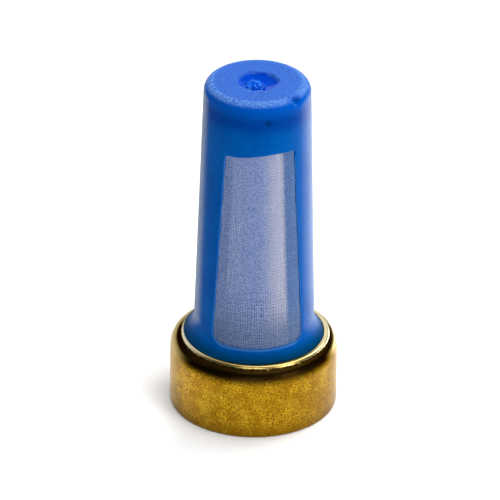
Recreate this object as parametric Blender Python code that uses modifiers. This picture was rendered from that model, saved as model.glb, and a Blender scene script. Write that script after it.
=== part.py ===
"""Fuel-injector basket filter: a brass press-in ring, a moulded nylon cage and the woven sleeve in it.

Metres, +Z up. The origin is the centre of the ring's flat end face, where fuel enters, and the closed
cap is at the top. The two windows face -Y and +Y.
"""
import math

import bmesh
import bpy

MM = 0.001

# Overall sizes
OVERALL_HEIGHT = 12.8 * MM
RING_DIAMETER = 6.0 * MM
BORE_DIAMETER = 3.0 * MM
CAP_DIAMETER = 3.76 * MM

# Brass ring
RING_HEIGHT = 2.74 * MM
RING_WALL = 0.48 * MM
RING_FLOOR = 0.90 * MM
RING_END_CHAMFER = 0.05 * MM
BORE_CHAMFER = 0.10 * MM
LIP_WIDTH = 0.12 * MM
LIP_RADIUS = 0.05 * MM
SHOULDER_HEIGHT = 0.50 * MM
SHOULDER_RADIUS = 0.30 * MM

# Groove in the ring's socket, which the cage's foot fills
GROOVE_RISE = 0.55 * MM
GROOVE_WIDTH = 0.50 * MM
GROOVE_DEPTH = 0.12 * MM

# Moulded cage
FOOT_LEDGE = 0.33 * MM
FOOT_EDGE_RISE = 0.03 * MM
FOOT_FILLET_HEIGHT = 0.70 * MM
CAP_THICKNESS = 1.60 * MM
CAP_EDGE_RADIUS = 0.36 * MM
CORE_DRAFT = 0.14 * MM
CORE_CORNER_RADIUS = 0.30 * MM

# Moulding gate in the cap, with the stub that is left of the runner
GATE_DIAMETER = 1.56 * MM
GATE_FLOOR_DIAMETER = 1.10 * MM
GATE_DEPTH = 0.20 * MM
STUB_DIAMETER = 0.36 * MM
STUB_HEIGHT = 0.12 * MM

# Windows
WINDOW_COUNT = 2
WINDOW_SILL_RISE = 0.46 * MM
WINDOW_CAP_DROP = 2.05 * MM
WINDOW_TOP_ANGLE = math.radians(78.4)
WINDOW_SILL_ANGLE = math.radians(92.0)
WINDOW_SIDE_DRAFT = math.radians(42.6)
WINDOW_CORNER_RADIUS = 0.35 * MM

# Woven sleeve, held inside the cage's wall
SLEEVE_THICKNESS = 0.09 * MM
SLEEVE_COVER = 0.10 * MM
SLEEVE_CAP_LAP = 0.60 * MM
SLEEVE_FOOT_COVER = 0.38 * MM

# Clearances between the pieces
MOULD_GAP = 0.02 * MM
SLEEVE_GAP = 0.015 * MM

# Fineness of the round shapes
SEGMENTS = 72
ARC_STEPS = 5
MERGE = 0.001 * MM
SMOOTH_ANGLE = math.radians(32)

# Radii and heights that follow from the sizes above
RING_RADIUS = RING_DIAMETER / 2
BORE_RADIUS = BORE_DIAMETER / 2
CAP_RADIUS = CAP_DIAMETER / 2
SOCKET_RADIUS = RING_RADIUS - RING_WALL
FOOT_RADIUS = SOCKET_RADIUS - MOULD_GAP
FOOT_BOTTOM = RING_FLOOR + MOULD_GAP
FOOT_EDGE = RING_HEIGHT + FOOT_EDGE_RISE
WALL_TAPER = (FOOT_RADIUS - FOOT_LEDGE - CAP_RADIUS) / (OVERALL_HEIGHT - FOOT_EDGE)
WALL_SLOPE = math.atan(WALL_TAPER)
CORE_TOP = OVERALL_HEIGHT - CAP_THICKNESS
CORE_TAPER = CORE_DRAFT / (CORE_TOP - FOOT_BOTTOM)
CORE_SLOPE = math.atan(CORE_TAPER)
WINDOW_SILL = RING_HEIGHT + WINDOW_SILL_RISE
WINDOW_TOP = OVERALL_HEIGHT - WINDOW_CAP_DROP
SLEEVE_BOTTOM = FOOT_BOTTOM + SLEEVE_FOOT_COVER
SLEEVE_TOP = WINDOW_TOP + SLEEVE_CAP_LAP


def wall_radius(z):
    """Radius of the cage's tapered outer wall at a height."""
    return CAP_RADIUS + (OVERALL_HEIGHT - z) * WALL_TAPER


def core_radius(z):
    """Radius of the cage's tapered inside at a height."""
    return BORE_RADIUS - (z - FOOT_BOTTOM) * CORE_TAPER


def arc(centre, radius, start, end, steps=ARC_STEPS):
    """Points of an arc in the profile plane, angles in radians from the outward direction."""
    angles = [start + (end - start) * i / steps for i in range(steps + 1)]
    return [(centre[0] + radius * math.cos(a), centre[1] + radius * math.sin(a)) for a in angles]


def corner_arc(before, corner, after, radius, steps=ARC_STEPS):
    """Points that round the corner between two straight runs of a profile."""
    to_before = math.atan2(before[1] - corner[1], before[0] - corner[0])
    to_after = math.atan2(after[1] - corner[1], after[0] - corner[0])
    turn = (to_after - to_before + math.pi) % (2 * math.pi) - math.pi
    middle = to_before + turn / 2
    reach = radius / math.sin(abs(turn) / 2)
    centre = (corner[0] + reach * math.cos(middle), corner[1] + reach * math.sin(middle))
    side = math.copysign(1, turn)
    start = to_before - side * math.pi / 2
    return arc(centre, radius, start, start - side * (math.pi - abs(turn)), steps)


def remove_scene_objects():
    """Empty the scene that the script starts in."""
    for obj in list(bpy.data.objects):
        bpy.data.objects.remove(obj, do_unlink=True)


def new_collection(name):
    """A collection linked to the scene."""
    collection = bpy.data.collections.new(name)
    bpy.context.scene.collection.children.link(collection)
    return collection


def principled(name, color, roughness, metallic=0.0):
    """A material with one Principled shader."""
    material = bpy.data.materials.new(name)
    material.use_nodes = True
    shader = material.node_tree.nodes["Principled BSDF"]
    shader.inputs["Base Color"].default_value = (*color, 1.0)
    shader.inputs["Roughness"].default_value = roughness
    shader.inputs["Metallic"].default_value = metallic
    return material


def turned(name, profile, collection, closed):
    """A profile of (radius, height) points turned about Z. A closed profile stays clear of the axis."""
    edges = [(i, i + 1) for i in range(len(profile) - 1)]
    if closed:
        edges.append((len(profile) - 1, 0))
    mesh = bpy.data.meshes.new(name)
    mesh.from_pydata([(r, 0.0, z) for r, z in profile], edges, [])
    obj = bpy.data.objects.new(name, mesh)
    collection.objects.link(obj)
    screw = obj.modifiers.new("turn", "SCREW")
    screw.axis = "Z"
    screw.angle = 2 * math.pi
    screw.steps = SEGMENTS
    screw.render_steps = SEGMENTS
    screw.use_merge_vertices = True
    screw.merge_threshold = MERGE
    return obj


def cut(obj, cutter):
    """Take the cutter's volume out of the object."""
    cutter.hide_render = True
    cutter.display_type = "WIRE"
    boolean = obj.modifiers.new(f"cut {cutter.name}", "BOOLEAN")
    boolean.operation = "DIFFERENCE"
    boolean.solver = "EXACT"
    boolean.object = cutter


def settle(obj, material):
    """Apply the modifiers, shade the round faces smooth and give the piece its material."""
    depsgraph = bpy.context.evaluated_depsgraph_get()
    mesh = bpy.data.meshes.new_from_object(obj.evaluated_get(depsgraph))
    mesh.name = obj.name
    obj.modifiers.clear()
    obj.data = mesh
    mesh.shade_smooth()
    mesh.set_sharp_from_angle(angle=SMOOTH_ANGLE)
    mesh.materials.clear()
    mesh.materials.append(material)


def ring_profile():
    """The ring's section, from the lip's inner edge down the outside and up the inside."""
    lip_outer = SOCKET_RADIUS + LIP_WIDTH
    shoulder_foot = (RING_RADIUS, RING_HEIGHT - SHOULDER_HEIGHT)
    lip_corner = (lip_outer, RING_HEIGHT)
    outside = [(SOCKET_RADIUS, RING_HEIGHT)]
    outside += corner_arc(outside[0], lip_corner, shoulder_foot, LIP_RADIUS, 3)
    outside += corner_arc(lip_corner, shoulder_foot, (RING_RADIUS, 0.0), SHOULDER_RADIUS)
    end_face = [
        (RING_RADIUS, RING_END_CHAMFER),
        (RING_RADIUS - RING_END_CHAMFER, 0.0),
        (BORE_RADIUS + BORE_CHAMFER, 0.0),
        (BORE_RADIUS, BORE_CHAMFER),
    ]
    socket = [(BORE_RADIUS, RING_FLOOR), (SOCKET_RADIUS, RING_FLOOR)]
    return outside + end_face + socket + groove_section(SOCKET_RADIUS, 0.0)


def groove_section(radius, shrink):
    """The groove's four corners from the bottom up, or the rib that fills it, smaller by shrink."""
    low = RING_FLOOR + GROOVE_RISE + shrink
    high = RING_FLOOR + GROOVE_RISE + GROOVE_WIDTH - shrink
    return [
        (radius, low),
        (radius + GROOVE_DEPTH, low + GROOVE_DEPTH),
        (radius + GROOVE_DEPTH, high - GROOVE_DEPTH),
        (radius, high),
    ]


def gate_profile():
    """The sunken gate and its stub, from the axis outward."""
    floor = OVERALL_HEIGHT - GATE_DEPTH
    return [
        (0.0, floor + STUB_HEIGHT),
        (STUB_DIAMETER / 4, floor + STUB_HEIGHT),
        (STUB_DIAMETER / 2, floor),
        (GATE_FLOOR_DIAMETER / 2, floor),
        (GATE_DIAMETER / 2, OVERALL_HEIGHT),
    ]


def foot_fillet():
    """The hollow curve from the tapered wall out to the foot's edge, tangent to the wall."""
    start_height = FOOT_EDGE + FOOT_FILLET_HEIGHT
    start = (wall_radius(start_height), start_height)
    end = (FOOT_RADIUS, FOOT_EDGE)
    out = (math.cos(WALL_SLOPE), math.sin(WALL_SLOPE))
    run = (end[0] - start[0], end[1] - start[1])
    radius = (run[0] ** 2 + run[1] ** 2) / (2 * (run[0] * out[0] + run[1] * out[1]))
    centre = (start[0] + radius * out[0], start[1] + radius * out[1])
    end_angle = math.atan2(end[1] - centre[1], end[0] - centre[0]) % (2 * math.pi)
    return arc(centre, radius, math.pi + WALL_SLOPE, end_angle)


def cage_profile():
    """The cage's section before the windows, from the axis down the outside and up the inside."""
    cap_corner = (CAP_RADIUS, OVERALL_HEIGHT)
    foot = (FOOT_RADIUS, FOOT_BOTTOM)
    core_corner = (core_radius(CORE_TOP), CORE_TOP)
    core_foot = (BORE_RADIUS, FOOT_BOTTOM)
    profile = gate_profile()
    profile += corner_arc(profile[-1], cap_corner, (wall_radius(0.0), 0.0), CAP_EDGE_RADIUS)
    profile += foot_fillet()
    profile += reversed(groove_section(FOOT_RADIUS, MOULD_GAP))
    profile += [foot, core_foot]
    profile += corner_arc(core_foot, core_corner, (0.0, CORE_TOP), CORE_CORNER_RADIUS)
    profile.append((0.0, CORE_TOP))
    return profile


def sleeve_profile(gap):
    """The sleeve's section, or with a gap the slot that the cage holds it in."""
    low = SLEEVE_BOTTOM - gap
    high = SLEEVE_TOP + gap
    outer = SLEEVE_COVER - gap
    inner = SLEEVE_COVER + SLEEVE_THICKNESS + gap
    return [
        (wall_radius(high) - outer, high),
        (wall_radius(low) - outer, low),
        (wall_radius(low) - inner, low),
        (wall_radius(high) - inner, high),
    ]


def window_half_width(height, angle, depth):
    """Half the window's width at a distance from the axis, where its drafted side meets the wall's angle."""
    wall = wall_radius(height)
    at_wall = wall * math.sin(angle / 2)
    wall_depth = wall * math.cos(angle / 2)
    return at_wall + (depth - wall_depth) * math.tan(WINDOW_SIDE_DRAFT)


def window_cutter(name, turn, collection):
    """A block that narrows towards the axis and towards the cap, with its two sill corners rounded."""
    near = BORE_RADIUS / 3
    far = RING_RADIUS * 1.2
    mesh = bpy.data.meshes.new(name)
    block = bmesh.new()
    bmesh.ops.create_cube(block, size=2.0)
    for vert in block.verts:
        depth = far if vert.co.y < 0 else near
        height, angle = (
            (WINDOW_TOP, WINDOW_TOP_ANGLE) if vert.co.z > 0 else (WINDOW_SILL, WINDOW_SILL_ANGLE)
        )
        vert.co.x *= window_half_width(height, angle, depth)
        vert.co.y = -depth
        vert.co.z = height
    sill_corners = [
        edge
        for edge in block.edges
        if all(v.co.z < WINDOW_TOP - MERGE for v in edge.verts)
        and abs(edge.verts[0].co.y - edge.verts[1].co.y) > MERGE
    ]
    bmesh.ops.bevel(
        block, geom=sill_corners, offset=WINDOW_CORNER_RADIUS, segments=4, profile=0.5, affect="EDGES"
    )
    block.to_mesh(mesh)
    block.free()
    obj = bpy.data.objects.new(name, mesh)
    obj.rotation_euler = (0.0, 0.0, turn)
    collection.objects.link(obj)
    return obj


def make_ring(parts):
    """The turned brass ring that is pressed into the injector's inlet."""
    ring = turned("press_ring", ring_profile(), parts, closed=True)
    settle(ring, principled("brass", (0.56, 0.36, 0.08), 0.34, metallic=1.0))


def make_cage(parts, cutters):
    """The moulded cage, with its windows and the slot that the sleeve sits in."""
    cage = turned("filter_cage", cage_profile(), parts, closed=False)
    cut(cage, turned("sleeve_slot", sleeve_profile(SLEEVE_GAP), cutters, closed=True))
    for i in range(WINDOW_COUNT):
        cut(cage, window_cutter(f"window_{i + 1}", i * 2 * math.pi / WINDOW_COUNT, cutters))
    settle(cage, principled("blue_nylon", (0.008, 0.095, 0.48), 0.38))


def make_sleeve(parts):
    """The filter sleeve as a plain thin cone of its true size."""
    sleeve = turned("filter_sleeve", sleeve_profile(0.0), parts, closed=True)
    settle(sleeve, principled("woven_nylon", (0.42, 0.47, 0.66), 0.55))


def main():
    remove_scene_objects()
    parts = new_collection("injector_basket_filter")
    cutters = new_collection("cutters")
    make_ring(parts)
    make_cage(parts, cutters)
    make_sleeve(parts)


main()
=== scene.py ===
"""The basket filter's looks: turned brass ring, moulded blue nylon cage and woven nylon cloth.

Shapes are worked out in millimetres, in the CAD model's frame, and turned to metres as meshes are made.
The cage is a distance field on a round grid, so its windows, fillets, gate and flaws blend as moulded
plastic does. The ring is a turned profile. The cloth is woven thread by thread.
"""
import math

import bmesh
import bpy
import numpy as np
from mathutils import Matrix, Vector


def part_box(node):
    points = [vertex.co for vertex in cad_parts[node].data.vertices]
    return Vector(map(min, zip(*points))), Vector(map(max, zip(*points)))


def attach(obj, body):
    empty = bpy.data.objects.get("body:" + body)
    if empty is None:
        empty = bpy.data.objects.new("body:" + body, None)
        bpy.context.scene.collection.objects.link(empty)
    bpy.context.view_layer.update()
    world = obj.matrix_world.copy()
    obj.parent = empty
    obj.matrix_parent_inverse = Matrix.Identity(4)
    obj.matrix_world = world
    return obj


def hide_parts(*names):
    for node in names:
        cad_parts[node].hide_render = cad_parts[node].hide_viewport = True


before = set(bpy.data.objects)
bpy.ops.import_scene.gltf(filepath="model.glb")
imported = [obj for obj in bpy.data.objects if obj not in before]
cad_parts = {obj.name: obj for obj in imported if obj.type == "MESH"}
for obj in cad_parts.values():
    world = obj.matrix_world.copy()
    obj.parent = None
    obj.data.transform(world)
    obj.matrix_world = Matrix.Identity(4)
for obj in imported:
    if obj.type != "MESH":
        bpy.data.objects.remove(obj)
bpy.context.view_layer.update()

MM = 0.001
TAU = 2 * math.pi


def box_mm(node):
    """A CAD node's lowest and highest corners, in millimetres."""
    return [np.array(corner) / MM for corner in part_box(node)]


# Sizes from the frame
RING_HIGH = box_mm("press_ring")[1]
CAGE_LOW, CAGE_HIGH = box_mm("filter_cage")
SLEEVE_LOW, SLEEVE_HIGH = box_mm("filter_sleeve")
RING_RADIUS = RING_HIGH[0]
RING_TOP = RING_HIGH[2]
CAGE_TOP = CAGE_HIGH[2]
CAGE_BOTTOM = CAGE_LOW[2]

# Ring. Its shoulder is fuller than the CAD model's, and its lip's width varies.
SOCKET_RADIUS = RING_RADIUS - 0.48
RING_FLOOR = CAGE_BOTTOM - 0.02
BORE_RADIUS = 1.5
LIP_WIDTH = 0.11
LIP_RUNOUT = 0.07
LIP_WIDE_AT = math.radians(-33)
LIP_BURR = 0.004
LIP_LEAN = 0.035
LIP_HEIGHT = 0.12
LIP_ROUNDING = 0.09
SOCKET_ROUNDING = 0.02
SHOULDER_BOTTOM = RING_TOP - 0.74
WALL_FOOT_ROUNDING = 0.05
BORE_FOOT_ROUNDING = 0.09
BORE_TOP_ROUNDING = 0.03

# Cage. Its windows narrow a little more towards the top than the CAD model's.
CAP_RADIUS = 1.88
CAP_EDGE_RADIUS = 0.36
FOOT_RADIUS = SOCKET_RADIUS - 0.02
FOOT_EDGE = RING_TOP + 0.03
FOOT_LEDGE = 0.33
FOOT_FILLET_HEIGHT = 0.70
FOOT_CREEP_HEIGHT = 0.25
WALL_TAPER = (FOOT_RADIUS - FOOT_LEDGE - CAP_RADIUS) / (CAGE_TOP - FOOT_EDGE)
CORE_TOP = CAGE_TOP - 1.6
CORE_DRAFT = 0.14
CORE_ROUNDING = 0.3
PARTING_LINE_BOTTOM = RING_TOP + 0.86
PARTING_LINE_TOP = CAGE_TOP - 0.3
PARTING_LINE_HEIGHT = 0.012
PARTING_LINE_SPREAD = 0.045
WINDOW_SILL = RING_TOP + 0.40
WINDOW_TOP = CAGE_TOP - 2.05
WINDOW_TOP_ANGLE = math.radians(76.6)
WINDOW_SILL_ANGLE = math.radians(95.0)
WINDOW_STRAIGHT_DEPTH = 0.06
WINDOW_SIDE_DRAFT = math.radians(42.6)
WINDOW_CORNER_RADIUS = 0.35
WINDOW_TOP_WAVE = 0.085
WINDOW_TOP_WAVES = 3.23
WINDOW_TOP_PHASE = math.radians(10.2)
WINDOW_EDGE_BLEND = 0.05

# Flaws in the cap: the sunken gate, its torn stub and shred, the nick in the edge and a burnt speck
GATE_CENTRE = (0.0, 0.0, CAGE_TOP + 0.03)
GATE_RADII = (0.75, 0.75, 0.29)
STUB_CENTRE = (-0.14, 0.04, CAGE_TOP - 0.23)
STUB_RADII = (0.34, 0.32, 0.17)
SHRED_CENTRE = (0.20, -0.47, CAGE_TOP - 0.12)
SHRED_RADII = (0.05, 0.13, 0.11)
NICK_AZIMUTH = math.radians(-46)
NICK_REACH = CAP_RADIUS - 0.04
NICK_CENTRE = (NICK_REACH * math.cos(NICK_AZIMUTH), NICK_REACH * math.sin(NICK_AZIMUTH), CAGE_TOP - 0.10)
NICK_RADII = (0.21, 0.21, 0.20)
TORN_RELIEF = 0.03
FLAW_BLEND = 0.03
GATE_EDGE_BLEND = 0.04
SPECK_AZIMUTH = math.radians(-82.4)
SPECK_HEIGHT = CAGE_TOP - 0.70

# The grids that the cage is made on
TABLE_STEP = 0.01
GRID_COLUMNS = 288
WINDOW_SIDE_COLUMN = 34

# Cloth, in the place of the CAD sleeve
CLOTH_COVER = 0.035
CLOTH_THICKNESS = 0.09
THREAD_PITCH = 0.060
THREAD_DIAMETER = 0.036
THREAD_MARGIN = 0.10
WEAVE_BOTTOM = WINDOW_SILL - THREAD_MARGIN
WEAVE_TOP = WINDOW_TOP + 2 * THREAD_MARGIN

# The camera's view of the part
CAMERA_AZIMUTH = math.radians(-4.8)
CAMERA_ELEVATION = math.radians(29.295)
CAMERA_ROLL = math.radians(0.839)
CAMERA_DISTANCE = 203.9
CAMERA_TARGET_RIGHT = -0.181
CAMERA_TARGET_HEIGHT = 5.993
CAMERA_LENS = 411.8
SENSOR_WIDTH = 36.0


# ---------------------------------------------------------------- profiles


def wall_radius(z):
    """Radius of the cage's tapered outer wall at a height."""
    return CAP_RADIUS + (CAGE_TOP - z) * WALL_TAPER


def arc(centre, radius, start, end, steps):
    """Points of an arc in the profile plane."""
    angles = np.linspace(start, end, steps + 1)
    return [(centre[0] + radius * math.cos(angle), centre[1] + radius * math.sin(angle)) for angle in angles]


def corner_arc(before, corner, after, radius, steps=8):
    """Points that round the corner between two straight runs of a profile."""
    to_before = math.atan2(before[1] - corner[1], before[0] - corner[0])
    to_after = math.atan2(after[1] - corner[1], after[0] - corner[0])
    turn = (to_after - to_before + math.pi) % TAU - math.pi
    middle = to_before + turn / 2
    reach = radius / math.sin(abs(turn) / 2)
    centre = (corner[0] + reach * math.cos(middle), corner[1] + reach * math.sin(middle))
    side = math.copysign(1, turn)
    start = to_before - side * math.pi / 2
    return arc(centre, radius, start, start - side * (math.pi - abs(turn)), steps)


def foot_fillet(steps=12):
    """The hollow curve from the wall out to the foot's edge, tangent to the wall."""
    slope = math.atan(WALL_TAPER)
    start = (wall_radius(FOOT_EDGE + FOOT_FILLET_HEIGHT), FOOT_EDGE + FOOT_FILLET_HEIGHT)
    run = (FOOT_RADIUS - start[0], FOOT_EDGE - start[1])
    out = (math.cos(slope), math.sin(slope))
    radius = (run[0] ** 2 + run[1] ** 2) / (2 * (run[0] * out[0] + run[1] * out[1]))
    centre = (start[0] + radius * out[0], start[1] + radius * out[1])
    end = math.atan2(FOOT_EDGE - centre[1], FOOT_RADIUS - centre[0]) % TAU
    return arc(centre, radius, math.pi + slope, end, steps)


def cage_profile():
    """The cage's closed section: over the cap, down the wall and up the core.

    Both ends lie a little beyond the axis, so that the axis itself is inside.
    """
    core_top_radius = BORE_RADIUS - CORE_DRAFT
    cap_corner = (CAP_RADIUS, CAGE_TOP)
    beyond_axis = -0.1
    points = [(beyond_axis, CAGE_TOP)]
    points += corner_arc((0.0, CAGE_TOP), cap_corner, (wall_radius(0.0), 0.0), CAP_EDGE_RADIUS)
    points += foot_fillet()
    points += [(FOOT_RADIUS, CAGE_BOTTOM), (BORE_RADIUS, CAGE_BOTTOM)]
    points += corner_arc(points[-1], (core_top_radius, CORE_TOP), (0.0, CORE_TOP), CORE_ROUNDING)
    points.append((beyond_axis, CORE_TOP))
    return np.array(points)


def bezier(start, start_pull, end_pull, end, steps=14):
    """Points along a cubic curve, its ends included."""
    t = np.linspace(0, 1, steps + 1)[:, None]
    a, b, c, d = (np.array(point) for point in (start, start_pull, end_pull, end))
    curve = a * (1 - t) ** 3 + 3 * b * t * (1 - t) ** 2 + 3 * c * t**2 * (1 - t) + d * t**3
    return [tuple(point) for point in curve]


def ring_profile(lip_width, burr):
    """The ring's section from the lip's inner edge, down the outside and up the inside."""
    socket_corner = (SOCKET_RADIUS, RING_TOP)
    lip_corner = (SOCKET_RADIUS + lip_width + burr, RING_TOP)
    crease = (SOCKET_RADIUS + lip_width + LIP_LEAN, RING_TOP - LIP_HEIGHT)
    crease_pull = (RING_RADIUS - 0.07, RING_TOP - 0.19)
    wall_pull = (RING_RADIUS, RING_TOP - 0.38)
    wall_top = (RING_RADIUS, SHOULDER_BOTTOM)
    wall_foot = (RING_RADIUS, 0.0)
    bore_foot = (BORE_RADIUS, 0.0)
    bore_top = (BORE_RADIUS, RING_FLOOR)
    socket_foot = (SOCKET_RADIUS, RING_FLOOR)
    points = corner_arc(socket_foot, socket_corner, lip_corner, SOCKET_ROUNDING, 3)
    points += corner_arc(socket_corner, lip_corner, crease, LIP_ROUNDING, 6)
    points += bezier(crease, crease_pull, wall_pull, wall_top)
    points += corner_arc(wall_top, wall_foot, bore_foot, WALL_FOOT_ROUNDING, 5)
    points += corner_arc(wall_foot, bore_foot, bore_top, BORE_FOOT_ROUNDING, 4)
    points += corner_arc(bore_foot, bore_top, socket_foot, BORE_TOP_ROUNDING, 3)
    points.append(socket_foot)
    return points


# ---------------------------------------------------------------- distance field


def smooth_max(a, b, blend):
    """The larger of two distances, rounded off where they meet."""
    share = np.clip(0.5 - 0.5 * (b - a) / blend, 0, 1)
    return b + (a - b) * share + blend * share * (1 - share)


def smooth_min(a, b, blend):
    """The smaller of two distances, rounded off where they meet."""
    return -smooth_max(-a, -b, blend)


def polygon_distance(r, z, points):
    """Signed distance to a closed polygon, negative inside."""
    nearest = np.full(r.shape, np.inf)
    inside = np.zeros(r.shape, bool)
    for (r0, z0), (r1, z1) in zip(points, np.roll(points, -1, axis=0)):
        dr, dz = r1 - r0, z1 - z0
        along = np.clip(((r - r0) * dr + (z - z0) * dz) / (dr * dr + dz * dz), 0, 1)
        nearest = np.minimum(nearest, np.hypot(r - r0 - along * dr, z - z0 - along * dz))
        if z0 != z1:
            inside ^= ((z0 > z) != (z1 > z)) & (r < r0 + (z - z0) * dr / dz)
    return np.where(inside, -nearest, nearest)


def ellipsoid_distance(x, y, z, centre, radii):
    """Near the surface, the distance to an ellipsoid, negative inside."""
    scaled = [(value - middle) / radius for value, middle, radius in zip((x, y, z), centre, radii)]
    slopes = [value / radius for value, radius in zip(scaled, radii)]
    tiny = 1e-9
    size = np.sqrt(sum(value * value for value in scaled)) + tiny
    return size * (size - 1) / (np.sqrt(sum(value * value for value in slopes)) + tiny)


def window_half_angle(z):
    """Half of a window's opening at the wall's outside, as an angle from its middle."""
    return np.interp(z, [WINDOW_SILL, WINDOW_TOP], [WINDOW_SILL_ANGLE / 2, WINDOW_TOP_ANGLE / 2])


def window_distance(x, y, z):
    """Signed distance to the two windows, negative in them.

    Their sides are straight as far in as the cloth, and slant in behind it.
    """
    azimuth = np.arctan2(x * np.sign(-y), np.abs(y))
    slope = math.tan(WINDOW_SIDE_DRAFT)
    wall = wall_radius(z)
    half_angle = window_half_angle(z)
    behind = np.maximum(wall * np.cos(half_angle) - WINDOW_STRAIGHT_DEPTH - np.abs(y), 0)
    half_width = wall * np.sin(half_angle) - slope * behind
    side = (np.abs(x) - half_width) / np.where(behind > 0, math.hypot(1, slope), 1)
    sill = WINDOW_SILL - z
    # The mould's edge over the cloth isn't quite straight.
    wave = WINDOW_TOP_WAVE * np.sin(WINDOW_TOP_WAVES * (azimuth + WINDOW_TOP_PHASE))
    top = z - WINDOW_TOP - np.where(y < 0, wave, -0.4 * wave)
    from_round = np.stack([side, sill]) + WINDOW_CORNER_RADIUS
    outside = np.sqrt((np.maximum(from_round, 0) ** 2).sum(0))
    inside = np.minimum(from_round.max(0), 0)
    return np.maximum(outside + inside - WINDOW_CORNER_RADIUS, top)


def foot_overlap(azimuth):
    """How far thin nylon creeps over the ring's lip: most at the left, and not at all at the right."""
    lean = 0.036 * np.cos(azimuth - math.radians(195))
    ripple = 0.006 * np.sin(5 * azimuth + 1)
    return np.maximum(0.004 + lean + ripple, 0)


def cage_field(r, azimuth, z):
    """The cage's distance field. azimuth is 0 at +X and grows towards +Y."""
    x, y = r * np.cos(azimuth), r * np.sin(azimuth)
    above_lip = z > RING_TOP + 0.004
    creep = np.clip((FOOT_EDGE + FOOT_CREEP_HEIGHT - z) / FOOT_CREEP_HEIGHT, 0, 1) ** 2 * above_lip
    on_wall = (z > PARTING_LINE_BOTTOM) & (z < PARTING_LINE_TOP) & (r > CAP_RADIUS - 0.18)
    parting = PARTING_LINE_HEIGHT * np.exp(-((y / PARTING_LINE_SPREAD) ** 2)) * on_wall
    radius = r - foot_overlap(azimuth) * creep - parting
    field = smooth_max(section_distance(radius, z), -window_distance(x, y, z), WINDOW_EDGE_BLEND)
    return add_cap_flaws(field, x, y, z, azimuth)


def section_distance(radius, z):
    """Signed distance to the cage's section, looked up from a fine table of radius and height."""
    r_axis = np.arange(-0.02, FOOT_RADIUS + 0.4, TABLE_STEP)
    z_axis = np.arange(CAGE_BOTTOM - 0.2, CAGE_TOP + 0.2, TABLE_STEP)
    table = polygon_distance(*np.meshgrid(r_axis, z_axis, indexing="ij"), cage_profile())
    # Places in the table stay just short of its last row and column, which have none after them.
    a = np.clip((radius - r_axis[0]) / TABLE_STEP, 0, len(r_axis) - 1.001)
    b = np.clip((z - z_axis[0]) / TABLE_STEP, 0, len(z_axis) - 1.001)
    i, j = a.astype(int), b.astype(int)
    a, b = a - i, b - j
    low = table[i, j] * (1 - b) + table[i, j + 1] * b
    high = table[i + 1, j] * (1 - b) + table[i + 1, j + 1] * b
    return low * (1 - a) + high * a


def add_cap_flaws(field, x, y, z, azimuth):
    """The sunken gate with its torn stub and shred, and the nick in the cap's edge."""
    edge = 0.03 * np.sin(3 * azimuth + 0.6) + 0.022 * np.sin(7 * azimuth + 2.0)
    reach = 1 + edge / GATE_RADII[0]
    gate = ellipsoid_distance(x / reach, y / reach, z, GATE_CENTRE, GATE_RADII)
    field = smooth_max(field, -gate, GATE_EDGE_BLEND)
    stub = ellipsoid_distance(x, y, z, STUB_CENTRE, STUB_RADII)
    stub = stub + TORN_RELIEF * np.sin(19 * x + 5 * y) * np.cos(17 * y - 7 * x)
    field = smooth_min(field, stub, FLAW_BLEND)
    shred = ellipsoid_distance(x, y, z, SHRED_CENTRE, SHRED_RADII)
    field = smooth_min(field, shred, FLAW_BLEND)
    nick = ellipsoid_distance(x, y, z, NICK_CENTRE, NICK_RADII)
    nick = nick + TORN_RELIEF * np.sin(31 * x + 9 * z) * np.cos(37 * y + 31 * z)
    return smooth_max(field, -nick, FLAW_BLEND)


def spaced(*stops):
    """Grid heights or radii: a first value, then stops as (end, step)."""
    values = [stops[0]]
    for end, step in stops[1:]:
        count = max(1, round((end - values[-1]) / step))
        values += list(np.linspace(values[-1], end, count + 1)[1:])
    return np.array(values)


def crossed_edges(field, axis):
    """The grid's edges along an axis that the surface crosses, as the indices of their two ends.

    Only the second axis, which goes all the way round, has edges from its last place to its first.
    """
    if axis == 1:
        first, second = field, np.roll(field, -1, axis)
    else:
        first, second = np.delete(field, -1, axis), np.delete(field, 0, axis)
    found = np.argwhere((first < 0) != (second < 0))
    beyond = found.copy()
    beyond[:, axis] += 1
    beyond[:, 1] %= field.shape[1]
    return found, beyond


def cells_round(edges, axis, cells):
    """The numbers of the four cells round each edge along an axis, -1 for a cell off the grid."""
    others = [other for other in range(3) if other != axis]
    numbers = []
    for shift in ((-1, -1), (0, -1), (0, 0), (-1, 0)):
        cell = edges.copy()
        cell[:, others] += shift
        cell[:, 1] %= cells[1]
        on_grid = np.all((cell >= 0) & (cell < cells), axis=1)
        number = np.ravel_multi_index(np.clip(cell, 0, np.array(cells) - 1).T, cells)
        numbers.append(np.where(on_grid, number, -1))
    return np.stack(numbers, 1)


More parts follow.
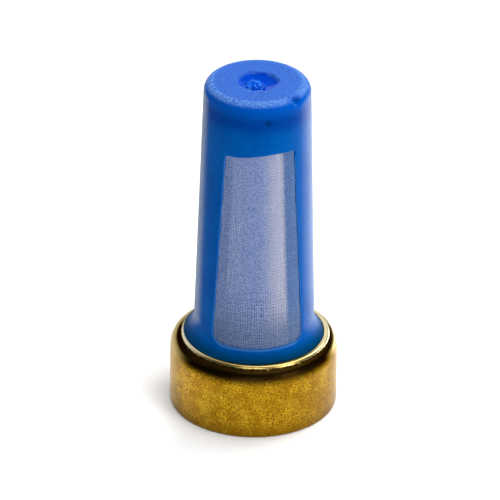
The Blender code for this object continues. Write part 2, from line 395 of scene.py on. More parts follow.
def net_surface(name, field, place):
    """A mesh of the zero surface of a field on a grid whose second axis goes all the way round.

    Each grid cell that the surface crosses gets one vertex, the mean of where its edges are crossed.
    Each crossed edge gets one face, between the four cells round it.
    """
    cells = (field.shape[0] - 1, field.shape[1], field.shape[2] - 1)
    total = np.zeros((math.prod(cells), 3))
    count = np.zeros(len(total))
    faces = []
    for axis in range(3):
        found, beyond = crossed_edges(field, axis)
        start, end = tuple(found.T), tuple(beyond.T)
        share = (field[start] / (field[start] - field[end]))[:, None]
        points = place[start] * (1 - share) + place[end] * share
        corners = cells_round(found, axis, cells)
        for number in corners.T:
            on_grid = number >= 0
            np.add.at(total, number[on_grid], points[on_grid])
            np.add.at(count, number[on_grid], 1)
        turned = (field[start] < 0) == (axis == 1)
        corners[turned] = corners[turned, ::-1]
        faces.append(corners[np.all(corners >= 0, axis=1)])
    used = np.flatnonzero(count)
    new_number = np.full(len(count), -1)
    new_number[used] = np.arange(len(used))
    points = total[used] / count[used, None] * MM
    mesh = bpy.data.meshes.new(name)
    mesh.from_pydata(points.tolist(), [], new_number[np.concatenate(faces)].tolist())
    mesh.update()
    return mesh


def close_holes(mesh):
    """Close the pinholes that the grid leaves at the axis, and face every polygon out."""
    bm = bmesh.new()
    bm.from_mesh(mesh)
    bmesh.ops.remove_doubles(bm, verts=bm.verts, dist=0.0004 * MM)
    bmesh.ops.holes_fill(bm, edges=[e for e in bm.edges if e.is_boundary], sides=0)
    bmesh.ops.recalc_face_normals(bm, faces=bm.faces)
    bm.to_mesh(mesh)
    bm.free()


def window_warp(azimuth, z):
    """Turn the grid's columns a little, so that one of them runs just past each slanted window side."""
    column = WINDOW_SIDE_COLUMN * TAU / GRID_COLUMNS
    past_side = 0.02
    turn = window_half_angle(z) + past_side - column
    from_window = azimuth % math.pi - math.pi / 2
    away = np.abs(from_window)
    share = np.where(away < column, away / column, (math.pi / 2 - away) / (math.pi / 2 - column))
    return azimuth + np.sign(from_window) * share * turn


def mark_window_edges(mesh):
    """Store how near each point is to a window's outer edge, where the colour is made paler."""
    points = np.empty(3 * len(mesh.vertices))
    mesh.vertices.foreach_get("co", points)
    x, y, z = points.reshape(-1, 3).T / MM
    paler_width = 0.035
    near_edge = np.exp(-((window_distance(x, y, z) / paler_width) ** 2))
    outside = np.clip((np.hypot(x, y) - wall_radius(z) + 0.08) / 0.05, 0, 1)
    below_top = np.clip((WINDOW_TOP - 0.15 - z) / 0.1, 0, 1)
    layer = mesh.attributes.new("window_edge", "FLOAT", "POINT")
    layer.data.foreach_set("value", near_edge * outside * below_top)


def make_cage():
    """The nylon cage, with its windows, gate and moulding flaws."""
    name = "filter_cage_moulding"
    r_axis = spaced(0.004, (0.9, 0.036), (1.30, 0.06), (1.60, 0.03), (FOOT_RADIUS + 0.15, 0.03))
    a_axis = np.arange(GRID_COLUMNS) * TAU / GRID_COLUMNS
    z_axis = spaced(
        CAGE_BOTTOM - 0.05, (CAGE_BOTTOM + 0.05, 0.03), (RING_TOP - 0.1, 0.15), (FOOT_EDGE + 0.06, 0.016),
        (WINDOW_SILL + 0.4, 0.035), (WINDOW_TOP - 0.2, 0.12), (WINDOW_TOP + 0.2, 0.03),
        (CORE_TOP + 0.1, 0.07), (CAGE_TOP - 0.55, 0.11), (CAGE_TOP + 0.05, 0.03),
    )
    r, azimuth, z = np.meshgrid(r_axis, a_axis, z_axis, indexing="ij")
    azimuth = window_warp(azimuth, z)
    place = np.stack([r * np.cos(azimuth), r * np.sin(azimuth), z], -1)
    mesh = net_surface(name, cage_field(r, azimuth, z), place)
    close_holes(mesh)
    mark_window_edges(mesh)
    finish_piece(name, mesh, nylon(), "filter_cage")


# ---------------------------------------------------------------- ring


def make_ring():
    """The turned ring. Its lip is wider on one side, with a fine burr along it."""
    segments = 360
    rng = np.random.default_rng(5)
    ragged = rng.normal(size=segments)
    burrs = LIP_BURR * (np.roll(ragged, 1) + ragged + np.roll(ragged, -1)) / 3
    angles = np.arange(segments) * TAU / segments
    verts = []
    for angle, burr in zip(angles, burrs):
        lip_width = LIP_WIDTH + LIP_RUNOUT * math.cos(angle - LIP_WIDE_AT)
        for r, z in ring_profile(lip_width, burr):
            verts.append((r * math.cos(angle) * MM, r * math.sin(angle) * MM, z * MM))
    rows = len(verts) // segments
    faces = []
    for i in range(segments):
        for j in range(rows):
            a, b = i * rows, (i + 1) % segments * rows
            k = (j + 1) % rows
            faces.append((a + j, a + k, b + k, b + j))
    name = "press_ring_turned"
    mesh = bpy.data.meshes.new(name)
    mesh.from_pydata(verts, [], faces)
    finish_piece(name, mesh, brass(), "press_ring")


# ---------------------------------------------------------------- cloth


def cloth_radius(z):
    """The radius of the cloth's middle at a height."""
    return wall_radius(z) - CLOTH_COVER - CLOTH_THICKNESS / 2


def half_window(z):
    """Half of what the threads cover at a height, as an angle from the window's middle."""
    half_width = wall_radius(z) * np.sin(window_half_angle(z)) + THREAD_MARGIN
    return np.arcsin(half_width / cloth_radius(z))


class Cloth:
    """Points and faces of one cloth piece, with how far across its window each point is."""

    def __init__(self):
        self.points = []
        self.across = []
        self.faces = []
        self.count = 0

    def add(self, points, faces, across):
        """Some more points, with the faces between them."""
        self.points.append(points)
        self.across.append(across)
        self.faces += (np.array(faces) + self.count).tolist()
        self.count += len(points)

    def add_thread(self, centres, outs, runs, across):
        """A closed four-sided tube round a path."""
        sides = np.cross(outs, runs)
        corners = np.stack([outs, sides, -outs, -sides], 1) * THREAD_DIAMETER / 2 + centres[:, None]
        count = len(centres)
        ring = 4 * np.arange(count - 1)[:, None]
        near, far = np.arange(4), (np.arange(4) + 1) % 4
        faces = np.stack([ring + near, ring + far, ring + far + 4, ring + near + 4], -1).reshape(-1, 4)
        last = 4 * (count - 1)
        ends = [[3, 2, 1, 0], [last, last + 1, last + 2, last + 3]]
        self.add(corners.reshape(-1, 3), np.concatenate([faces, ends]), np.repeat(across, 4))

    def finish(self, name, material):
        """Make the piece, and store the across values for its material."""
        mesh = bpy.data.meshes.new(name)
        mesh.from_pydata((np.concatenate(self.points) * MM).tolist(), [], self.faces)
        layer = mesh.attributes.new("across_window", "FLOAT", "POINT")
        layer.data.foreach_set("value", np.concatenate(self.across))
        return finish_piece(name, mesh, material, "filter_sleeve")


def on_cloth(azimuth, z):
    """Points of the cloth's middle, with the directions out of it, round it and up it."""
    slope = math.atan(WALL_TAPER)
    zero, one = np.zeros_like(azimuth), np.ones_like(azimuth)
    level = np.stack([np.cos(azimuth), np.sin(azimuth), zero], -1)
    upright = np.stack([zero, zero, one], -1)
    middle = level * cloth_radius(z)[:, None] + upright * z[:, None]
    out = level * math.cos(slope) + upright * math.sin(slope)
    up = upright * math.cos(slope) - level * math.sin(slope)
    round_it = np.stack([-np.sin(azimuth), np.cos(azimuth), zero], -1)
    return middle, out, round_it, up


def sway(rng, along):
    """A thread's small drift to the side, in millimetres, along its length."""
    waves = rng.normal(scale=0.035 * THREAD_PITCH, size=4)
    offset = rng.normal(scale=0.06 * THREAD_PITCH)
    return offset + sum(size * np.sin((order + 1) * along + 2 * order) for order, size in enumerate(waves))


def weave_window(middle, warp, weft, rng):
    """The threads across one window, over and under each other."""
    weave_height = WEAVE_TOP - WEAVE_BOTTOM
    rows = round(weave_height / THREAD_PITCH)
    widest = half_window(WEAVE_BOTTOM)
    mean_radius = cloth_radius((WEAVE_BOTTOM + WEAVE_TOP) / 2)
    columns = round(2 * widest * mean_radius / THREAD_PITCH)
    lift = THREAD_DIAMETER / 2
    heights = WEAVE_BOTTOM + np.arange(rows + 1) * weave_height / rows
    angles = (np.arange(columns + 1) / columns * 2 - 1) * widest
    for i, angle in enumerate(angles):
        kept = np.flatnonzero(abs(angle) <= half_window(heights))
        if len(kept) < 3:
            continue
        z = heights[kept]
        from_middle = angle + sway(rng, z) / mean_radius
        centre, out, _, up = on_cloth(middle + from_middle, z)
        over = np.where((kept + i) % 2, -lift, lift)[:, None]
        warp.add_thread(centre + out * over, out, up, from_middle / window_half_angle(z))
    for j, height in enumerate(heights):
        kept = np.flatnonzero(abs(angles) <= half_window(height))
        from_middle = angles[kept]
        z = height + sway(rng, 2 * from_middle)
        centre, out, round_it, _ = on_cloth(middle + from_middle, z)
        over = np.where((kept + j) % 2, lift, -lift)[:, None]
        weft.add_thread(centre + out * over, out, round_it, from_middle / window_half_angle(z))


def hidden_cells(azimuths, heights):
    """Which cells between these azimuths and heights lie in the cage's wall, beside the woven windows."""
    azimuth, z = np.meshgrid(
        (azimuths[:-1] + azimuths[1:]) / 2,
        (heights[:-1] + heights[1:]) / 2,
        indexing="ij",
    )
    beside = np.abs(azimuth % math.pi - math.pi / 2) >= half_window(z)
    return beside | (z <= WEAVE_BOTTOM) | (z >= WEAVE_TOP)


def add_hidden_band(cloth):
    """The cloth inside the cage's wall, filled by the nylon moulded round it: one closed shell."""
    columns, rows = 180, 72
    azimuths = np.arange(columns + 1) * TAU / columns
    heights = np.linspace(SLEEVE_LOW[2], SLEEVE_HIGH[2], rows + 1)
    azimuth, z = np.meshgrid(azimuths[:-1], heights, indexing="ij")
    centre, out, _, _ = on_cloth(azimuth.ravel(), z.ravel())
    half = CLOTH_THICKNESS / 2
    points = np.concatenate([centre + out * half, centre - out * half])
    inside = len(centre)
    kept = hidden_cells(azimuths, heights)
    faces = []
    for i, j in np.argwhere(kept):
        here = i * (rows + 1) + j
        beside = (i + 1) % columns * (rows + 1) + j
        a, b, c, d = here, beside, beside + 1, here + 1
        faces.append((a, b, c, d))
        faces.append((inside + d, inside + c, inside + b, inside + a))
        for di, dj, p, q in ((0, -1, a, b), (1, 0, b, c), (0, 1, c, d), (-1, 0, d, a)):
            goes_on = 0 <= j + dj < rows and kept[(i + di) % columns, j + dj]
            if not goes_on:
                faces.append((p, inside + p, inside + q, q))
    used, numbered = np.unique(np.array(faces), return_inverse=True)
    cloth.add(points[used], numbered.reshape(-1, 4), np.zeros(len(used)))


def make_cloth():
    """The woven sleeve: open weave in the windows, and a band held in the cage's wall."""
    rng = np.random.default_rng(11)
    warp, weft = Cloth(), Cloth()
    for middle in (-math.pi / 2, math.pi / 2):
        weave_window(middle, warp, weft, rng)
    add_hidden_band(warp)
    material = thread_nylon()
    warp_piece = warp.finish("filter_sleeve_warp", material)
    weft_piece = weft.finish("filter_sleeve_weft", material)


# ---------------------------------------------------------------- materials

# Colours of the brass
GRAIN_DARK = (0.16, 0.070, 0.002)
GRAIN_LIGHT = (0.62, 0.375, 0.016)
TARNISH = (0.26, 0.115, 0.003)
CLEAN_PATCH = (0.60, 0.39, 0.03)
DARK_SPOT = (0.12, 0.05, 0.003)
# painted shade towards the press wall's foot
WALL_PAINTED_FOOT_SHADE = (0.18, 0.09, 0.003)
# painted sheen where the press wall is seen edge on
WALL_PAINTED_EDGE_SHEEN = (0.80, 0.62, 0.34)
LIP_DARK = (0.46, 0.32, 0.080)
LIP_LIGHT = (0.60, 0.45, 0.16)
# painted highlights on the lip's left and right
LIP_PAINTED_HIGHLIGHT_LEFT = (0.90, 0.84, 0.68)
LIP_PAINTED_HIGHLIGHT_RIGHT = (0.95, 0.85, 0.52)
# painted dark reflection on the shoulder
PAINTED_REFLECTION_DARK = (0.008, 0.004, 0.001)
PAINTED_REFLECTION_LIGHT = (0.025, 0.013, 0.002)
BARE_SHEEN = (1.0, 1.0, 1.0)
# the sheen's tint where the shoulder's dark reflection is painted
PAINTED_DARK_SHEEN_TINT = (0.20, 0.13, 0.05)

# Colours of the blue nylon
SIDE_DARK = (0.0, 0.074, 0.35)
SIDE_LIGHT = (0.0, 0.098, 0.40)
# painted shade on the side before the solid cap
SIDE_PAINTED_SHADE_BEFORE_CAP = (0.0, 0.030, 0.25)
# painted shade at the cage's foot
SIDE_PAINTED_SHADE_AT_FOOT = (0.0, 0.034, 0.062)
# painted light on the side just under the cap's rim
SIDE_PAINTED_LIGHT_UNDER_RIM = (0.0, 0.088, 0.50)
SIDE_PORES = (0.0, 0.02, 0.12)
# the cap's own blue, lighter and redder with a painted whitish sheen
CAP_DARK_WITH_SHEEN = (0.022, 0.080, 0.42)
CAP_LIGHT_WITH_SHEEN = (0.055, 0.165, 0.55)
# painted highlight along the cap's rim
RIM_PAINTED_HIGHLIGHT = (0.16, 0.34, 0.66)
# painted shade in the gate's hollow
GATE_PAINTED_SHADE = (0.0, 0.052, 0.50)
GATE_GLINT = (0.03, 0.22, 0.70)
BURNT_SPECK = (0.0, 0.015, 0.07)
WINDOW_EDGE_PALER = (0.07, 0.22, 0.52)
# painted sheen where the cage's side is seen edge on
PAINTED_SIDE_SHEEN = (0.30, 0.36, 0.42)

# Colours of the thread
THREAD_DARK = (0.27, 0.40, 0.77)
THREAD_LIGHT = (0.56, 0.67, 0.97)
# painted highlight on the threads
THREAD_PAINTED_HIGHLIGHT = (0.82, 0.83, 0.94)
# painted shade on the threads beside the window's sides
THREAD_PAINTED_SHADE_AT_SIDES = (0.14, 0.32, 0.66)
# painted shade on the threads near the sill
THREAD_PAINTED_SHADE_AT_SILL = (0.15, 0.26, 0.48)


class Nodes:
    """A short way to build one material's node tree."""

    def __init__(self, name):
        self.material = bpy.data.materials.new(name)
        self.material.use_nodes = True
        self.tree = self.material.node_tree
        self.shader = self.tree.nodes["Principled BSDF"]
        self.output = self.tree.nodes["Material Output"]
        self.place = self.add("ShaderNodeTexCoord").outputs["Object"]
        split = self.add("ShaderNodeSeparateXYZ")
        self.link(self.place, split.inputs["Vector"])
        # In metres: to the right of the axis, behind it, above the ring's end face, and away from the axis
        self.right = split.outputs["X"]
        self.back = split.outputs["Y"]
        self.height = split.outputs["Z"]
        squares = self.math("ADD", self.times(self.right, self.right), self.times(self.back, self.back))
        self.radius = self.math("SQRT", squares)

    def add(self, kind, **settings):
        """A new node."""
        node = self.tree.nodes.new(kind)
        for key, value in settings.items():
            setattr(node, key, value)
        return node

    def link(self, source, target):
        """Join a node's output to an input."""
        self.tree.links.new(source, target)

    def feed(self, socket, value):
        """Link an output to an input, or set the input's own value."""
        if hasattr(value, "is_output"):
            self.link(value, socket)
        else:
            socket.default_value = value

    def put(self, node, **values):
        """Feed a node's inputs. An underscore in a name stands for a space."""
        for name, value in values.items():
            self.feed(node.inputs[name.replace("_", " ")], value)

    def noise(self, scale, detail=2.0, roughness=0.5, place=None):
        """Cloudy noise from 0 to 1, in waves per metre."""
        node = self.add("ShaderNodeTexNoise")
        self.put(node, Vector=place or self.place, Scale=scale, Detail=detail, Roughness=roughness)
        return node.outputs["Fac"]

    def stretch(self, scale):
        """Places with each axis multiplied, for noise that isn't the same in all directions."""
        node = self.add("ShaderNodeMapping")
        self.put(node, Vector=self.place, Scale=scale)
        return node.outputs["Vector"]

    def remap(self, value, low, high, to_low=0.0, to_high=1.0, smooth=False):
        """A value's place between low and high, as a number from to_low to to_high."""
        node = self.add("ShaderNodeMapRange")
        if smooth:
            node.interpolation_type = "SMOOTHSTEP"
        self.put(node, Value=value, From_Min=low, From_Max=high, To_Min=to_low, To_Max=to_high)
        return node.outputs["Result"]

    def remap_mm(self, length, low, high, to_low=0.0, to_high=1.0, smooth=False):
        """Like remap, for a length in metres between two ends in millimetres."""
        return self.remap(length, low * MM, high * MM, to_low, to_high, smooth)

    def math(self, operation, a, b=0.0):
        """What one Math node gives for two values."""
        node = self.add("ShaderNodeMath", operation=operation)
        self.feed(node.inputs[0], a)
        self.feed(node.inputs[1], b)
        return node.outputs["Value"]

    def times(self, *factors):
        """The product of all the factors."""
        product = factors[0]
        for factor in factors[1:]:
            product = self.math("MULTIPLY", product, factor)
        return product

    def ragged(self, value, noise, amount):
        """A value made uneven by up to half the amount either way."""
        return self.math("ADD", value, self.times(self.math("SUBTRACT", noise, 0.5), amount))

    def mix(self, factor, a, b):
        """A colour between two colours."""
        node = self.add("ShaderNodeMix", data_type="RGBA")
        self.put(node, Factor=factor)
        ends = [socket for socket in node.inputs if socket.type == "RGBA"]
        for socket, value in zip(ends, (a, b)):
            self.feed(socket, (*value, 1.0) if isinstance(value, tuple) else value)
        return next(socket for socket in node.outputs if socket.type == "RGBA")

    def mix_value(self, factor, a, b):
        """A number between two numbers."""
        node = self.add("ShaderNodeMix", data_type="FLOAT")
        self.put(node, Factor=factor, A=a, B=b)
        return node.outputs["Result"]

    def bump(self, height, distance, strength, under=None):
        """A bumpy surface, on top of another one if that is given."""
        node = self.add("ShaderNodeBump")
        self.put(node, Height=height, Distance=distance, Strength=strength)
        if under is not None:
            self.put(node, Normal=under)
        return node.outputs["Normal"]

    def stored(self, name):
        """A value stored with the mesh's points."""
        return self.add("ShaderNodeAttribute", attribute_name=name).outputs["Fac"]

    def turned_away(self):
        """0 where the surface faces the view, 1 where it is seen edge on."""
        return self.add("ShaderNodeLayerWeight").outputs["Facing"]

    def front_share(self):
        """1 at the middle of the front, 0 at the sides and -1 behind."""
        return self.math("DIVIDE", self.times(self.back, -1.0), self.radius)

    def near(self, centre, inner, outer):
        """1 within the inner distance of a point, 0 past the outer one, uneven. In millimetres."""
        away = self.add("ShaderNodeVectorMath", operation="DISTANCE")
        self.link(self.place, away.inputs[0])
        away.inputs[1].default_value = [value * MM for value in centre]
        unevenness = self.times(self.noise(scale=9000), 0.25 * (outer - inner) * MM)
        distance = self.math("ADD", away.outputs["Value"], unevenness)
        return self.remap_mm(distance, inner, outer, 1.0, 0.0, smooth=True)


def wall_tone(n, grain, spots):
    """The press wall's colour: grained, with tarnish, cleaner patches and dark spots, with painted shade
    towards its foot and a painted sheen where it is seen edge on.
    """
    tarnish = n.noise(scale=2300)
    patches = n.noise(scale=1500, detail=3.0, roughness=0.6)
    tone = n.mix(n.remap(grain, 0.38, 0.62), GRAIN_DARK, GRAIN_LIGHT)
    tone = n.mix(n.remap(tarnish, 0.40, 0.62, 0.0, 0.55), tone, TARNISH)
    tone = n.mix(n.remap(patches, 0.52, 0.66, 0.0, 0.35), tone, CLEAN_PATCH)
    tone = n.mix(n.remap(spots, 0.60, 0.72, 0.0, 0.45), tone, DARK_SPOT)
    # Painted shade: the wall darkens towards its foot, by the floor.
    tone = n.mix(n.remap_mm(n.height, 0.0, 0.60, 0.60, 0.0), tone, WALL_PAINTED_FOOT_SHADE)
    # Painted sheen: the wall turns paler where it is seen edge on.
    return n.mix(n.remap(n.turned_away(), 0.66, 0.95, 0.0, 0.35, smooth=True), tone, WALL_PAINTED_EDGE_SHEEN)


def lip_tone(n, grain, below_lip):
    """Bare brass, with painted highlights that make the lip paler at its left and right."""
    on_lip = n.math("SUBTRACT", 1.0, below_lip)
    # Painted highlights: the lip is paler at its left and right sides.
    painted_highlight_left = n.times(on_lip, n.remap_mm(n.right, -2.75, -1.6, 0.8, 0.0))
    painted_highlight_right = n.times(on_lip, n.remap_mm(n.right, 1.5, 2.6, 0.0, 0.8))
    tone = n.mix(n.remap(grain, 0.3, 0.7), LIP_DARK, LIP_LIGHT)
    tone = n.mix(painted_highlight_left, tone, LIP_PAINTED_HIGHLIGHT_LEFT)
    return n.mix(painted_highlight_right, tone, LIP_PAINTED_HIGHLIGHT_RIGHT)


def painted_shoulder_darkness(n, below_lip):
    """How much painted dark reflection the shoulder gets: fully in front, and nearly none behind.

    Near the lip the painted darkness reaches further round than it does near the wall.
    """
    outside = n.remap_mm(n.radius, SOCKET_RADIUS + 0.05, SOCKET_RADIUS + 0.10)
    reach = n.remap_mm(n.radius, RING_RADIUS - 0.30, RING_RADIUS - 0.10, -0.35, 0.42)
    in_front = n.remap(n.math("SUBTRACT", n.front_share(), reach), -0.24, 0.18, 0.1, 1.0, smooth=True)
    above_wall = n.remap_mm(n.height, SHOULDER_BOTTOM - 0.5, SHOULDER_BOTTOM - 0.2)
    return n.times(below_lip, outside, in_front, above_wall)


def brass():
    """Brass: a grained, tarnished press wall, a bright lip and, between them, a shoulder with a painted dark
    reflection.
    """
    n = Nodes("grained_brass")
    grain = n.noise(scale=17000, detail=3.0, roughness=0.6)
    spots = n.noise(scale=6000, roughness=0.55)
    on_wall = n.times(
        n.remap_mm(n.height, SHOULDER_BOTTOM + 0.38, SHOULDER_BOTTOM - 0.02, smooth=True),
        n.remap_mm(n.radius, RING_RADIUS - 0.10, RING_RADIUS - 0.06),
    )
    uneven_height = n.ragged(n.height, spots, 0.12 * MM)
    below_lip = n.remap_mm(uneven_height, RING_TOP - LIP_HEIGHT, RING_TOP - 0.075, 1.0, 0.0, smooth=True)
    # Painted dark reflection on the shoulder, strongest at the front; it also darkens the sheen's tint.
    painted_darkness = painted_shoulder_darkness(n, below_lip)
    painted_dark_tone = n.mix(spots, PAINTED_REFLECTION_DARK, PAINTED_REFLECTION_LIGHT)
    off_wall = n.mix(painted_darkness, lip_tone(n, grain, below_lip), painted_dark_tone)
    painted_dark_sheen = n.times(painted_darkness, n.math("SUBTRACT", 1.0, on_wall))
    roughness_off_wall = n.remap(painted_darkness, 0, 1, 0.28, 0.38)
    roughness_on_wall = n.remap(grain, 0.3, 0.7, 0.34, 0.50)
    rings = n.noise(scale=1.0, roughness=0.6, place=n.stretch((900, 900, 42000)))
    turning_marks = n.bump(rings, distance=0.0012 * MM, strength=0.5)
    pits = n.bump(n.times(grain, on_wall), distance=0.011 * MM, strength=0.8, under=turning_marks)
    n.put(
        n.shader,
        Base_Color=n.mix(on_wall, off_wall, wall_tone(n, grain, spots)),
        Metallic=1.0,
        Specular_Tint=n.mix(painted_dark_sheen, BARE_SHEEN, PAINTED_DARK_SHEEN_TINT),
        Roughness=n.mix_value(on_wall, roughness_off_wall, roughness_on_wall),
        Normal=pits,
    )
    return n.material


def side_tone(n, fine):
    """The cage's side: cloudy and finely pored, with painted shade before the solid cap and at the foot, and
    painted light just under the rim.
    """
    painted_shade_before_cap = n.times(
        n.remap_mm(n.height, CORE_TOP + 0.2, CAGE_TOP - 0.75, 0.0, 0.7, smooth=True),
        n.remap_mm(n.height, CAGE_TOP - 0.75, CAGE_TOP - 0.3, 1.0, 0.2),
    )
    painted_shade_at_foot = n.remap_mm(n.height, WINDOW_SILL - 0.35, WINDOW_SILL, 0.9, 0.0)
    painted_light_under_rim = n.remap_mm(n.height, CAGE_TOP - 0.60, CAGE_TOP - 0.25, 0.0, 0.8)
    clouds = n.noise(scale=900)
    tone = n.mix(n.remap(clouds, 0.3, 0.7), SIDE_DARK, SIDE_LIGHT)
    # Painted shade on the side before the solid cap.
    tone = n.mix(painted_shade_before_cap, tone, SIDE_PAINTED_SHADE_BEFORE_CAP)
    # Painted shade at the foot, below the windows' sills.
    tone = n.mix(painted_shade_at_foot, tone, SIDE_PAINTED_SHADE_AT_FOOT)
    # Painted light on the side just under the cap's rim.
    tone = n.mix(painted_light_under_rim, tone, SIDE_PAINTED_LIGHT_UNDER_RIM)
    return n.mix(n.remap(fine, 0.35, 0.65, 0.0, 0.30), tone, SIDE_PORES)


def painted_rim_highlight(n, fine, on_cap):
    """How much painted highlight the cap's rim gets, outside the nick."""
    on_rim = n.times(
        n.remap_mm(n.radius, CAP_RADIUS - 0.38, CAP_RADIUS - 0.28),
        n.remap_mm(n.radius, CAP_RADIUS - 0.10, CAP_RADIUS - 0.02, 1.0, 0.0),
    )
    beside_nick = n.math("SUBTRACT", 1.0, n.near(NICK_CENTRE, 0.25, 0.55))
    return n.times(on_rim, on_cap, n.remap(fine, 0.35, 0.6), beside_nick, 0.6)


def with_gate(n, colour):
    """The colour with painted shade, a deeper blue, in the gate's hollow, and painted glints on its torn
    stub.
    """
    gate_radius = GATE_RADII[0]
    uneven_radius = n.ragged(n.radius, n.noise(scale=5000, roughness=0.6), 0.15 * MM)
    in_gate = n.times(
        n.remap_mm(uneven_radius, gate_radius - 0.09, gate_radius - 0.01, 1.0, 0.0),
        n.remap_mm(n.height, CAGE_TOP - 0.6, CAGE_TOP - 0.5),
    )
    on_stub = n.near((-0.10, -0.05, CAGE_TOP - 0.12), 0.30, 0.55)
    streaks = n.noise(scale=1.0, roughness=0.7, place=n.stretch((9000, 15000, 9000)))
    glints = n.times(in_gate, n.remap(streaks, 0.50, 0.58), on_stub)
    # Painted shade deepens the blue in the gate's hollow; the glints on the stub are painted highlights.
    return n.mix(glints, n.mix(in_gate, colour, GATE_PAINTED_SHADE), GATE_GLINT)


def speck(n):
    """A burnt speck in the plastic: one small dark spot in the cap's front."""
    radius = wall_radius(SPECK_HEIGHT)
    centre = (radius * math.cos(SPECK_AZIMUTH), radius * math.sin(SPECK_AZIMUTH), SPECK_HEIGHT)
    return n.times(n.near(centre, 0.02, 0.23), 0.65)


def painted_side_sheen(n, fine):
    """Painted sheen where the cage's side turns away from the view, denser on the left."""
    left = n.remap(n.turned_away(), 0.54, 0.80, smooth=True)
    right = n.remap(n.turned_away(), 0.45, 0.85, 0.0, 0.62)
    below_cap = n.remap_mm(n.height, CAGE_TOP - 0.05, CAGE_TOP - 0.35)
    above_foot = n.remap_mm(n.height, RING_TOP, RING_TOP + 0.9, smooth=True)
    sheen_share = n.mix_value(n.remap_mm(n.right, -0.5, 0.5), left, right)
    return n.times(sheen_share, n.remap(fine, 0.35, 0.65, 0.35, 1.0), below_cap, above_foot)


def nylon():
    """Blue nylon: satin sides with a painted sheen where they turn away, a finely rough cap with a painted
    whitish sheen and a painted highlight along its rim, and a little light inside.
    """
    n = Nodes("moulded_blue_nylon")
    fine = n.noise(scale=16000, roughness=0.6)
    on_cap = n.remap_mm(n.height, CAGE_TOP - 0.20, CAGE_TOP - 0.05, smooth=True)
    # The cap's blue, with a painted whitish sheen in its lighter, redder tone.
    cap_tone_and_sheen = n.mix(n.remap(fine, 0.3, 0.7), CAP_DARK_WITH_SHEEN, CAP_LIGHT_WITH_SHEEN)
    colour = n.mix(on_cap, side_tone(n, fine), cap_tone_and_sheen)
    # Painted highlight along the cap's rim.
    colour = n.mix(painted_rim_highlight(n, fine, on_cap), colour, RIM_PAINTED_HIGHLIGHT)
    colour = with_gate(n, colour)
    colour = n.mix(speck(n), colour, BURNT_SPECK)
    # Paler along the windows' outer edges.
    colour = n.mix(n.times(n.stored("window_edge"), 0.55), colour, WINDOW_EDGE_PALER)
    # Painted sheen on the cage's side where it is seen edge on.
    colour = n.mix(painted_side_sheen(n, fine), colour, PAINTED_SIDE_SHEEN)
    fine_relief = n.times(fine, n.math("ADD", on_cap, 0.45))
    n.put(
        n.shader,
        Base_Color=colour,
        Roughness=n.math("ADD", n.remap(fine, 0.3, 0.7, 0.36, 0.48), n.times(on_cap, 0.12)),
        Specular_IOR_Level=0.02,
        Specular_Tint=(0.0, 0.30, 0.9, 1.0),
        Subsurface_Weight=0.35,
        Subsurface_Radius=(0.15, 0.4, 1.0),
        Subsurface_Scale=0.30 * MM,
        IOR=1.53,
        Normal=n.bump(fine_relief, distance=0.006 * MM, strength=0.7),
    )
    return n.material


def thread_colour(n, tint):
    """Pale thread, with a painted highlight right of the middle, and painted shade, bluer and darker, beside
    the cage's moulded sides and at the sill.
    """
    across = n.stored("across_window")
    above_sill = n.remap_mm(n.height, WINDOW_SILL + 0.3, WINDOW_SILL + 1.7, smooth=True)
    # Painted highlight on the threads right of the window's middle.
    pale = n.times(
        n.remap(n.ragged(across, n.noise(scale=1100), 0.3), -0.1, 0.5, smooth=True),
        n.remap(across, 0.60, 0.72, 1.0, 0.0, smooth=True),
        n.math("ADD", n.times(above_sill, 0.6), 0.2),
    )
    # Painted shade on the threads where the cage's slanted sides lie close behind them.
    at_right = n.remap(across, 0.60, 0.72, smooth=True)
    at_left = n.remap(across, -0.55, -0.95, 0.0, 0.10)
    painted_shade_at_sides = n.times(
        n.math("MAXIMUM", at_right, at_left),
        n.math("ADD", n.times(above_sill, 0.45), 0.35),
    )
    # Painted shade on the threads near the sill, which lies in shadow behind them.
    painted_shade_at_sill = n.math("SUBTRACT", 0.55, n.times(above_sill, 0.55))
    colour = n.mix(n.remap(tint, 0.34, 0.66), THREAD_DARK, THREAD_LIGHT)
    colour = n.mix(pale, colour, THREAD_PAINTED_HIGHLIGHT)
    colour = n.mix(painted_shade_at_sides, colour, THREAD_PAINTED_SHADE_AT_SIDES)
    return n.mix(painted_shade_at_sill, colour, THREAD_PAINTED_SHADE_AT_SILL)


def thread_nylon():
    """Fine nylon thread that lets some light through."""
    n = Nodes("nylon_thread")
    tint = n.noise(scale=15000, roughness=0.6)
    colour = thread_colour(n, tint)
    roughness = n.remap(tint, 0.3, 0.7, 0.20, 0.36)
    n.put(n.shader, Base_Color=colour, Roughness=roughness, Specular_IOR_Level=0.8)
    through = n.add("ShaderNodeBsdfTranslucent")
    n.put(through, Color=colour)
    blend = n.add("ShaderNodeMixShader")
    n.put(blend, Fac=0.4)
    n.link(n.shader.outputs["BSDF"], blend.inputs[1])
    n.link(through.outputs["BSDF"], blend.inputs[2])
    n.link(blend.outputs["Shader"], n.output.inputs["Surface"])
    return n.material


def finish_piece(name, mesh, material, node):
    """Make a piece of a mesh, in place of a CAD node."""
    mesh.name = name
    mesh.shade_smooth()
    mesh.materials.append(material)
    piece = bpy.data.objects.new(name, mesh)
    bpy.context.scene.collection.objects.link(piece)
    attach(piece, "root")
    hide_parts(node)
    return piece


# ---------------------------------------------------------------- stage


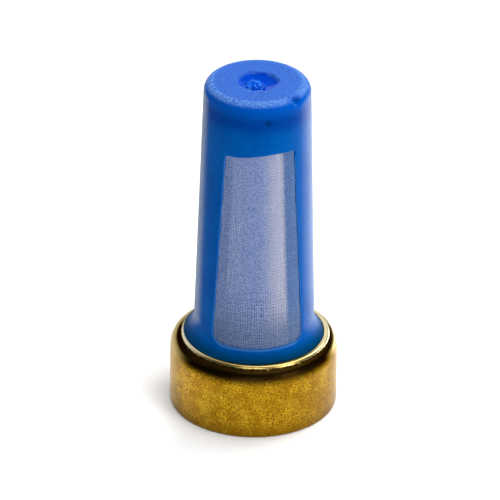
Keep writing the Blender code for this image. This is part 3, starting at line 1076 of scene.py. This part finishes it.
def make_camera():
    """A long lens above the front window."""
    right = Vector((math.cos(CAMERA_AZIMUTH), math.sin(CAMERA_AZIMUTH), 0))
    level = Vector((-math.sin(CAMERA_AZIMUTH), math.cos(CAMERA_AZIMUTH), 0))
    forward = level * math.cos(CAMERA_ELEVATION) - Vector((0, 0, math.sin(CAMERA_ELEVATION)))
    up = right.cross(forward)
    target = right * CAMERA_TARGET_RIGHT + Vector((0, 0, CAMERA_TARGET_HEIGHT))
    place = (target - forward * CAMERA_DISTANCE) * MM
    turn = Matrix((right, up, -forward)).transposed().to_4x4()
    data = bpy.data.cameras.new("camera")
    data.lens = CAMERA_LENS
    data.sensor_width = SENSOR_WIDTH
    data.clip_start = 10 * MM
    camera = bpy.data.objects.new("camera", data)
    camera.matrix_world = Matrix.Translation(place) @ turn @ Matrix.Rotation(CAMERA_ROLL, 4, "Z")
    bpy.context.scene.collection.objects.link(camera)
    bpy.context.scene.camera = camera


def make_softbox(name, azimuth, elevation, distance, size, radiance):
    """A rectangular light aimed at the middle of the part, hidden from the camera.

    The azimuth is in degrees from the front, to the right. Lengths are in millimetres.
    """
    data = bpy.data.lights.new(name, "AREA")
    data.shape = "RECTANGLE"
    data.size = size[0] * MM
    data.size_y = size[1] * MM
    data.energy = radiance * math.pi * data.size * data.size_y
    light = bpy.data.objects.new(name, data)
    azimuth = math.radians(azimuth)
    elevation = math.radians(elevation)
    level = Vector((math.sin(azimuth), -math.cos(azimuth), 0))
    way = level * math.cos(elevation) + Vector((0, 0, math.sin(elevation)))
    light.location = way * distance * MM + Vector((0, 0, CAGE_TOP / 2 * MM))
    light.rotation_euler = way.to_track_quat("Z", "Y").to_euler()
    light.visible_camera = False
    bpy.context.scene.collection.objects.link(light)


def make_floor_spot(name, place, radius, height, irradiance):
    """A spotlight straight down on one round patch of the floor. Lengths are in millimetres."""
    data = bpy.data.lights.new(name, "SPOT")
    data.spot_size = 2 * math.atan(radius / height)
    data.spot_blend = 0.5
    data.energy = irradiance * 4 * math.pi * (height * MM) ** 2
    data.shadow_soft_size = MM
    light = bpy.data.objects.new(name, data)
    light.location = (place[0] * MM, place[1] * MM, height * MM)
    bpy.context.scene.collection.objects.link(light)


def make_world():
    """A dark studio with a pale backdrop above and behind the part, a little to the left."""
    world = bpy.data.worlds.new("studio")
    world.use_nodes = True
    tree = world.node_tree
    background = tree.nodes["Background"]
    place = tree.nodes.new("ShaderNodeTexCoord")
    toward_backdrop = tree.nodes.new("ShaderNodeVectorMath")
    toward_backdrop.operation = "DOT_PRODUCT"
    toward_backdrop.inputs[1].default_value = Vector((-0.30, 0.70, 0.66)).normalized()
    tree.links.new(place.outputs["Generated"], toward_backdrop.inputs[0])
    ramp = tree.nodes.new("ShaderNodeMapRange")
    ramp.interpolation_type = "SMOOTHSTEP"
    for name, value in (("From Min", 0.50), ("From Max", 0.86), ("To Min", 0.02), ("To Max", 0.9)):
        ramp.inputs[name].default_value = value
    tree.links.new(toward_backdrop.outputs["Value"], ramp.inputs["Value"])
    tree.links.new(ramp.outputs["Result"], background.inputs["Strength"])
    background.inputs["Color"].default_value = (1, 1, 1, 1)
    bpy.context.scene.world = world


def make_floor():
    """A plain pale floor, just under the part."""
    reach = 1.5
    gap = 0.01 * MM
    bm = bmesh.new()
    bmesh.ops.create_grid(bm, x_segments=1, y_segments=1, size=reach)
    mesh = bpy.data.meshes.new("floor")
    bm.to_mesh(mesh)
    bm.free()
    floor = bpy.data.objects.new("floor", mesh)
    floor.location.z = -gap
    material = bpy.data.materials.new("pale_floor")
    material.use_nodes = True
    shader = material.node_tree.nodes["Principled BSDF"]
    shader.inputs["Base Color"].default_value = (0.95, 0.95, 0.95, 1)
    shader.inputs["Roughness"].default_value = 0.9
    shader.inputs["Specular IOR Level"].default_value = 0.0
    mesh.materials.append(material)
    bpy.context.scene.collection.objects.link(floor)


def make_stage():
    """Camera, floor, lights and colour handling."""
    make_camera()
    make_floor()
    make_world()
    make_softbox("top_softbox", azimuth=85, elevation=76, distance=130, size=(125, 125), radiance=3.7)
    make_softbox("back_right_softbox", azimuth=126, elevation=42, distance=110, size=(50, 50), radiance=4.5)
    make_softbox("front_right_strip", azimuth=43, elevation=11, distance=130, size=(34, 50), radiance=12.0)
    make_softbox("front_fill", azimuth=-8, elevation=9, distance=150, size=(90, 40), radiance=4.5)
    make_floor_spot("right_floor_spot", place=(19, 9), radius=15, height=150, irradiance=10)
    make_floor_spot("left_floor_spot", place=(-7.0, -1.8), radius=4.0, height=150, irradiance=1.5)
    bpy.context.scene.view_settings.view_transform = "Standard"


make_stage()
make_ring()
make_cage()
make_cloth()
